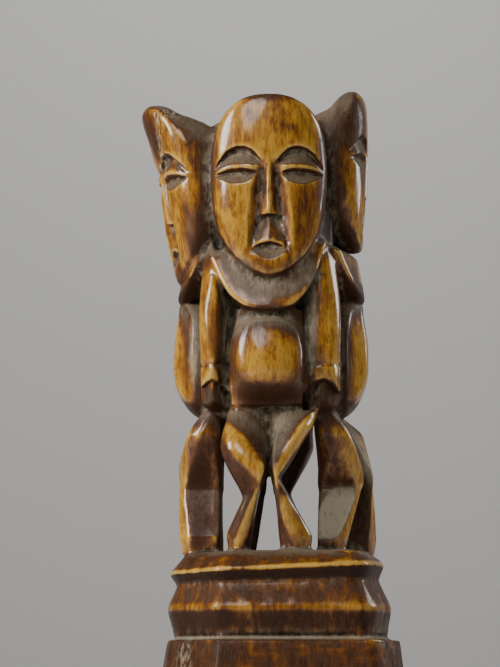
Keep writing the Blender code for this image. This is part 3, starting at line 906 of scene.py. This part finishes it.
class Socket:
    """A shader value that can be reckoned with in plain expressions."""

    tree = None

    def __init__(self, link):
        self.link = link

    @classmethod
    def node(cls, kind, settings=None, output=0, **sockets):
        """Output of a new node; a socket goes by its name, or by i and its number where names repeat."""
        made = cls.tree.nodes.new(kind)
        for name, value in (settings or {}).items():
            setattr(made, name, value)
        for name, value in sockets.items():
            cls.feed(made.inputs[int(name[1:]) if name[1:].isdigit() else name.replace("_", " ")], value)
        return cls(made.outputs[output])

    @classmethod
    def feed(cls, socket, value):
        if isinstance(value, Socket):
            cls.tree.links.new(value.link, socket)
        else:
            socket.default_value = value

    @classmethod
    def math(cls, operation, a, b=0.0, clamp=False):
        return cls.node("ShaderNodeMath", {"operation": operation, "use_clamp": clamp}, i0=a, i1=b)

    def __add__(self, other):
        return self.math("ADD", self, other)

    def __radd__(self, other):
        return self.math("ADD", other, self)

    def __sub__(self, other):
        return self.math("SUBTRACT", self, other)

    def __rsub__(self, other):
        return self.math("SUBTRACT", other, self)

    def __mul__(self, other):
        return self.math("MULTIPLY", self, other)

    def __rmul__(self, other):
        return self.math("MULTIPLY", other, self)

    def beside(self, output):
        """Another output of the node that this value comes from."""
        return Socket(self.link.node.outputs[output])

    def clamped(self):
        return self.math("ADD", self, 0.0, clamp=True)

    def between(self, low, high):
        """0 below low, 1 above high and smooth between them."""
        return self.node("ShaderNodeMapRange", {"interpolation_type": "SMOOTHSTEP"},
                         Value=self, From_Min=low, From_Max=high)

    def mixed(self, first, second):
        """The first color where this is 0, the second where it is 1."""
        return self.node("ShaderNodeMix", {"data_type": "RGBA"}, output=2, i0=self, i6=first, i7=second)


def attribute(name):
    return Socket.node("ShaderNodeAttribute", {"attribute_name": name}, output=2)


def object_place():
    return Socket.node("ShaderNodeTexCoord", output=3)


def noise(scale, stretch=(1.0, 1.0, 1.0), detail=3.0, rough=0.55, shift=0.0):
    """Noise with so many waves to a millimetre, drawn out along an axis by a small stretch."""
    place = Socket.node("ShaderNodeMapping", i0=object_place(), i1=(shift, shift, shift),
                        i3=tuple(scale * part / MM for part in stretch))
    return Socket.node("ShaderNodeTexNoise", Vector=place, Scale=1.0, Detail=detail, Roughness=rough)


def line(height, middle, half_width):
    """1 at a height on the plinth and 0 away from it, in millimetres."""
    return 1.0 - Socket.math("ABSOLUTE", height - middle).between(0.2 * half_width, half_width)


# From the raised places that hands rub bare down to the dirt in the pores and the painted shade in the
# creases and deep hollows
PALE_GOLD = (0.56, 0.35, 0.08, 1)
GOLD = (0.36, 0.176, 0.018, 1)
AMBER = (0.185, 0.066, 0.006, 1)
RED_BROWN = (0.068, 0.02, 0.004, 1)
DARK_BROWN = (0.036, 0.0125, 0.004, 1)
BLACK_DIRT_AND_SHADE = (0.01, 0.007, 0.004, 1)
# The grey film of dust and painted sheen on what faces upwards, and the dust in the hollows, with a painted
# sheen on some facets
DUSK = (0.15, 0.112, 0.072, 1)
DUST_AND_SHEEN_GREY = (0.34, 0.29, 0.2, 1)

# What a plain viewport shows
VIEWPORT_BROWN = (0.3, 0.15, 0.05, 1)
COAT_ROUGHNESS = 0.13
SPECULAR_LEVEL = 0.12
RELIEF_STRENGTH = 0.6
RELIEF_DEPTH = 0.12 * MM


class Grain:
    """Patterns of the ivory and of its wear; all but the pores and motes swing about 0."""

    def __init__(self):
        # Along the tusk, across it on the block, and finer along it
        self.streaks = noise(0.8, (1.0, 1.0, 0.12), 4.0, 0.6) - 0.5
        self.bands = noise(0.5, (0.25, 0.25, 1.6), 3.0, 0.6, 2.2) - 0.5
        self.fine = noise(3.0, (1.0, 1.0, 0.14), 3.0, 0.6, 3.7) - 0.5
        # Uneven wear, from large to small
        self.clouds = noise(0.22, (1.0, 1.0, 0.6), 3.0, 0.55, 8.1) - 0.5
        self.blotches = noise(0.75, (1.0, 1.0, 0.6), 4.0, 0.62, 1.3) - 0.5
        self.specks = noise(1.3, (1.0, 1.0, 0.35), 3.0, 0.65, 6.4) - 0.5
        # Dark pores in the ivory, and motes of dust on it
        self.pores = noise(4.2, (1.0, 1.0, 0.22), 2.0, 0.5, 5.3).between(0.64, 0.7)
        self.motes = noise(5.5, (1.0, 1.0, 0.6), 2.0, 0.5, 9.4).between(0.66, 0.74)


class Patina:
    """The ivory's surface, worked out in shares from its shape, its wear and its grain."""

    def __init__(self):
        self.grain = Grain()
        place = Socket.node("ShaderNodeSeparateXYZ", i0=object_place())
        self.across = place * (1 / MM)
        self.height = place.beside(2) * (1 / MM)
        edge, rise, depth, facing, tilt, worn, self.dusty, split = [attribute(name) for name in ATTRIBUTES]
        self.read_shape(edge, rise, depth, facing, tilt)
        self.read_wear(worn, split)
        self.rub(facing, depth)

    def read_shape(self, edge, rise, depth, facing, tilt):
        """Finds which part of the carving this is, how it stands out and which way it faces."""
        self.plinth = (PLINTH_HEIGHT - self.height).between(0.0, 2.0)
        self.block = (BLOCK_TOP - self.height).between(-0.3, 0.3)
        self.proud = (0.5 - rise).between(0.0, 0.12)
        self.hollow = (rise - 0.5).between(0.02, 0.12)
        self.ridge = (0.5 - edge).between(0.03, 0.12)
        self.crease = (edge - 0.5).between(0.05, 0.18)
        self.deep = depth.between(0.5, 0.7)
        self.aside = 1.0 - facing.between(0.3, 0.7)
        self.upward = tilt.between(0.05, 0.45) * (depth.between(0.28, 0.4) + self.aside).clamped()
        self.downward = (0.0 - tilt).between(0.3, 0.65)
        self.under = (0.0 - tilt).between(0.05, 0.4)

    def read_wear(self, worn, split):
        """Finds where the ivory is rubbed bare, kept dark or split, all of it unevenly."""
        grain = self.grain
        worn = worn * (0.95 + grain.blotches * 1.5 + grain.clouds * 1.3)
        self.bare = worn.clamped()
        self.kept = (0.0 - worn).clamped()
        uneven = (split * 1.5 + grain.blotches * 2.4 + grain.clouds * 1.2 - 0.45).clamped()
        self.split = uneven * split.between(0.0, 0.3)

    def rub(self, facing, depth):
        """Finds how far hands have rubbed the brown off, and how golden that leaves the ivory,
        less golden where painted shade falls on what faces down.
        """
        grain = self.grain
        reached_and_unshaded = facing.between(0.0, 0.95) * (1.0 - depth.between(0.4, 0.58))
        # Painted shade: less gold where the surface faces down; where it faces up the grey film with its
        # painted sheen takes the place of gold
        reached_and_unshaded = reached_and_unshaded * (1.0 - self.upward) * (1.0 - self.downward * 0.7)
        on_figures = (reached_and_unshaded * 0.68 + self.proud * 0.1) * (1.0 - self.kept) + self.bare * 0.32
        upper_line = line(self.height - self.across * RIDGE_TILT, UPPER_RIDGE_Z + 0.2, 0.62)
        upper_line = upper_line * (0.75 + grain.clouds * 1.5)
        lower_line = line(self.height, LOWER_RIDGE_Z, 1.5) * (0.6 + grain.clouds * 2.0).clamped()
        on_plinth = 0.26 + (grain.streaks + (grain.bands - grain.streaks) * self.block) * 0.65
        on_plinth = on_plinth + grain.clouds * 0.5 + upper_line * 0.6 + lower_line * 0.42
        # Painted shade: less gold where the plinth faces down
        on_plinth = on_plinth - self.upward * 0.04 - self.under * 0.3
        self.rubbed = on_figures + (on_plinth - on_figures) * self.plinth
        mottled = grain.streaks * 1.6 + grain.clouds * 1.3 + grain.blotches * 1.5 + grain.fine * 0.8
        mottled = mottled * (1.0 - self.kept * 0.55)
        mottled = mottled * (0.2 + self.rubbed.between(0.0, 0.6) * (0.62 - self.plinth * 0.45))
        mottled = mottled * (1.0 - lower_line * 0.6)
        self.gold = (self.rubbed + mottled + self.ridge * 0.2 * self.rubbed.between(0.1, 0.5)).clamped()

    def film_with_sheen_and_shade(self):
        """Color of the old brown film: dust and a painted sheen make it greyer where it faces upwards,
        a painted sheen greys it where it faces aside, and painted shade keeps it darker where it faces down.
        """
        grain = self.grain
        # Painted sheen with the dust where it faces upwards, and painted sheen where it faces aside
        dusky = 0.16 + self.upward * 0.6 + self.aside * (1.0 - self.plinth) * 0.06
        dusky = dusky + (grain.blotches + grain.clouds) * 0.4 - self.plinth * self.upward * 0.5
        # Painted shade: darker where it faces down; the rest is the film's own grain
        dusky = dusky - self.under * 0.3 - self.plinth * 0.08 + grain.fine * 0.9 + grain.specks * 0.6
        dusky = dusky + Socket.math("MINIMUM", self.dusty, 0.0)
        return dusky.clamped().mixed(DARK_BROWN, DUSK)

    def dust(self):
        """Dust in the hollows, on the step above the block, on some facets together with a painted sheen and
        highlight, and scattered.
        """
        grain = self.grain
        in_hollows = (self.hollow * grain.blotches.between(-0.1, 0.12) * (1.0 - self.deep * 0.7)).clamped()
        dust = in_hollows * (0.36 - self.plinth * 0.2) + line(self.height, BLOCK_TOP + 0.4, 0.5) * 0.42
        # Dust on the patches' facets, with a painted sheen, and a painted highlight on the left figure's
        # belly
        dust = dust + self.dusty * (0.56 + grain.blotches * 1.2 + grain.fine * 0.8)
        dust = dust + self.split * grain.specks.between(-0.06, 0.14) * 0.5
        return (dust + grain.motes * (1.0 - self.gold) * 0.25).clamped()

    def color(self, dust):
        """The film, where it is worn through to gold, with dirt in the pores, painted shade in the creases,
        in the deep hollows and under the plinth's mouldings, under the dust and painted sheen.
        """
        grain, gold = self.grain, self.gold
        color = gold.between(0.0, 0.42).mixed(self.film_with_sheen_and_shade(), RED_BROWN)
        color = gold.between(0.2, 0.62).mixed(color, AMBER)
        color = gold.between(0.45, 1.0).mixed(color, GOLD)
        palest = self.ridge * gold.between(0.4, 0.8) * 0.4 + gold.between(0.9, 1.2) * 0.5
        color = palest.clamped().mixed(color, PALE_GOLD)
        color = ((0.0 - grain.fine).between(0.04, 0.2) * 0.3 * gold).mixed(color, RED_BROWN)
        color = (grain.pores * 0.65).mixed(color, BLACK_DIRT_AND_SHADE)
        # Painted shade: near black in the deep hollows, and under the plinth's mouldings above the block
        shade = self.deep * 0.8 + self.plinth * self.under * (1.0 - self.block) * 0.4
        color = shade.clamped().mixed(color, BLACK_DIRT_AND_SHADE)
        # Painted shade in the creases
        color = (self.crease * 0.75).mixed(color, BLACK_DIRT_AND_SHADE)
        color = (self.split * (0.0 - grain.specks).between(0.0, 0.14) * 0.6).clamped().mixed(color, BLACK_DIRT_AND_SHADE)
        return dust.mixed(color, DUST_AND_SHEEN_GREY)

    def roughness(self, dust):
        return 0.55 - self.gold.between(0.2, 0.7) * 0.3 + dust * 0.2 + self.grain.fine * 0.15

    def polish(self):
        """Weight of the gloss that hands have given the bare places."""
        return (self.rubbed + self.gold).between(0.1, 1.1) * (0.7 - self.plinth * 0.4) + 0.06

    def relief(self):
        grain = self.grain
        height = grain.streaks * 0.3 + grain.fine * 0.7 + grain.blotches * 0.25 - grain.pores * 0.5
        return Socket.node("ShaderNodeBump", Strength=RELIEF_STRENGTH, Distance=RELIEF_DEPTH, Height=height)


def ivory():
    material = bpy.data.materials.new("patinated_ivory")
    material.use_nodes = True
    Socket.tree = material.node_tree
    shader = material.node_tree.nodes["Principled BSDF"]
    patina = Patina()
    dust = patina.dust()
    Socket.feed(shader.inputs["Base Color"], patina.color(dust))
    Socket.feed(shader.inputs["Roughness"], patina.roughness(dust))
    Socket.feed(shader.inputs["Coat Weight"], patina.polish())
    Socket.feed(shader.inputs["Normal"], patina.relief())
    shader.inputs["Coat Roughness"].default_value = COAT_ROUGHNESS
    shader.inputs["Specular IOR Level"].default_value = SPECULAR_LEVEL
    material.diffuse_color = VIEWPORT_BROWN
    return material


def plain(name, color, roughness):
    material = bpy.data.materials.new(name)
    material.use_nodes = True
    shader = material.node_tree.nodes["Principled BSDF"]
    shader.inputs["Base Color"].default_value = color
    shader.inputs["Roughness"].default_value = roughness
    return material


# Studio, in metres

ELEVATION = -7.0
DISTANCE = 0.575
TARGET = Vector((-0.0069, 0.0, 0.0763))
VIEW_WIDTH = 0.105
SENSOR = 36.0
NEAREST = 0.01

PALE = (0.62, 0.61, 0.59, 1)
PALE_ROUGHNESS = 0.75
FLOOR_REACH = 1.6
BACKDROP_HALF_WIDTH = 3.0
BACKDROP_FOOT, BACKDROP_TOP = -0.2, 2.4

MIDDLE = (0.0, 0.0, 0.075)
# Place, size and power of each light, and what it is aimed at
SOFTBOXES = {
    "left_softbox": ((-0.42, -0.2, 0.26), (0.2, 0.3), 3.4, MIDDLE),
    "right_softbox": ((0.4, 0.13, 0.24), (0.14, 0.3), 1.2, MIDDLE),
    "front_softbox": ((-0.15, -0.52, 0.42), (0.3, 0.3), 1.6, MIDDLE),
    "backdrop_softbox": ((0.0, 0.75, 0.95), (0.6, 0.2), 7.0, (0.0, FLOOR_REACH, 0.3)),
}
AIR = (0.97, 0.96, 0.94, 1)
AIR_STRENGTH = 0.09


def turned_to(place, aim):
    """Turn of a camera or light that looks from one place at another."""
    return (Vector(aim) - Vector(place)).to_track_quat("-Z", "Y").to_euler()


def camera():
    data = bpy.data.cameras.new("camera")
    eye = bpy.data.objects.new("camera", data)
    bpy.context.scene.collection.objects.link(eye)
    angle = math.radians(ELEVATION)
    eye.location = TARGET + DISTANCE * Vector((0.0, -math.cos(angle), math.sin(angle)))
    eye.rotation_euler = turned_to(eye.location, TARGET)
    data.sensor_fit = "HORIZONTAL"
    data.sensor_width = SENSOR
    data.lens = SENSOR * DISTANCE / VIEW_WIDTH
    data.clip_start = NEAREST
    bpy.context.scene.camera = eye


def softbox(name, place, size, power, aim):
    data = bpy.data.lights.new(name, "AREA")
    data.shape = "ELLIPSE"
    data.size, data.size_y = size
    data.energy = power
    light = bpy.data.objects.new(name, data)
    bpy.context.scene.collection.objects.link(light)
    light.location = place
    light.rotation_euler = turned_to(place, aim)


def sheet(name, corners, material):
    mesh = bpy.data.meshes.new(name)
    mesh.from_pydata(corners, [], [tuple(range(len(corners)))])
    mesh.materials.append(material)
    obj = bpy.data.objects.new(name, mesh)
    bpy.context.scene.collection.objects.link(obj)


def studio():
    pale = plain("pale_floor", PALE, PALE_ROUGHNESS)
    far, side = FLOOR_REACH, BACKDROP_HALF_WIDTH
    sheet("floor", [(-far, -far, 0), (far, -far, 0), (far, far, 0), (-far, far, 0)], pale)
    sheet("backdrop", [(-side, far, BACKDROP_FOOT), (side, far, BACKDROP_FOOT),
                       (side, far, BACKDROP_TOP), (-side, far, BACKDROP_TOP)], pale)
    for name, settings in SOFTBOXES.items():
        softbox(name, *settings)
    world = bpy.data.worlds.new("studio")
    world.use_nodes = True
    world.node_tree.nodes["Background"].inputs[0].default_value = AIR
    world.node_tree.nodes["Background"].inputs[1].default_value = AIR_STRENGTH
    bpy.context.scene.world = world


camera()
studio()
carving = statuette()
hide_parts(STATUETTE)
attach(carving, "root")
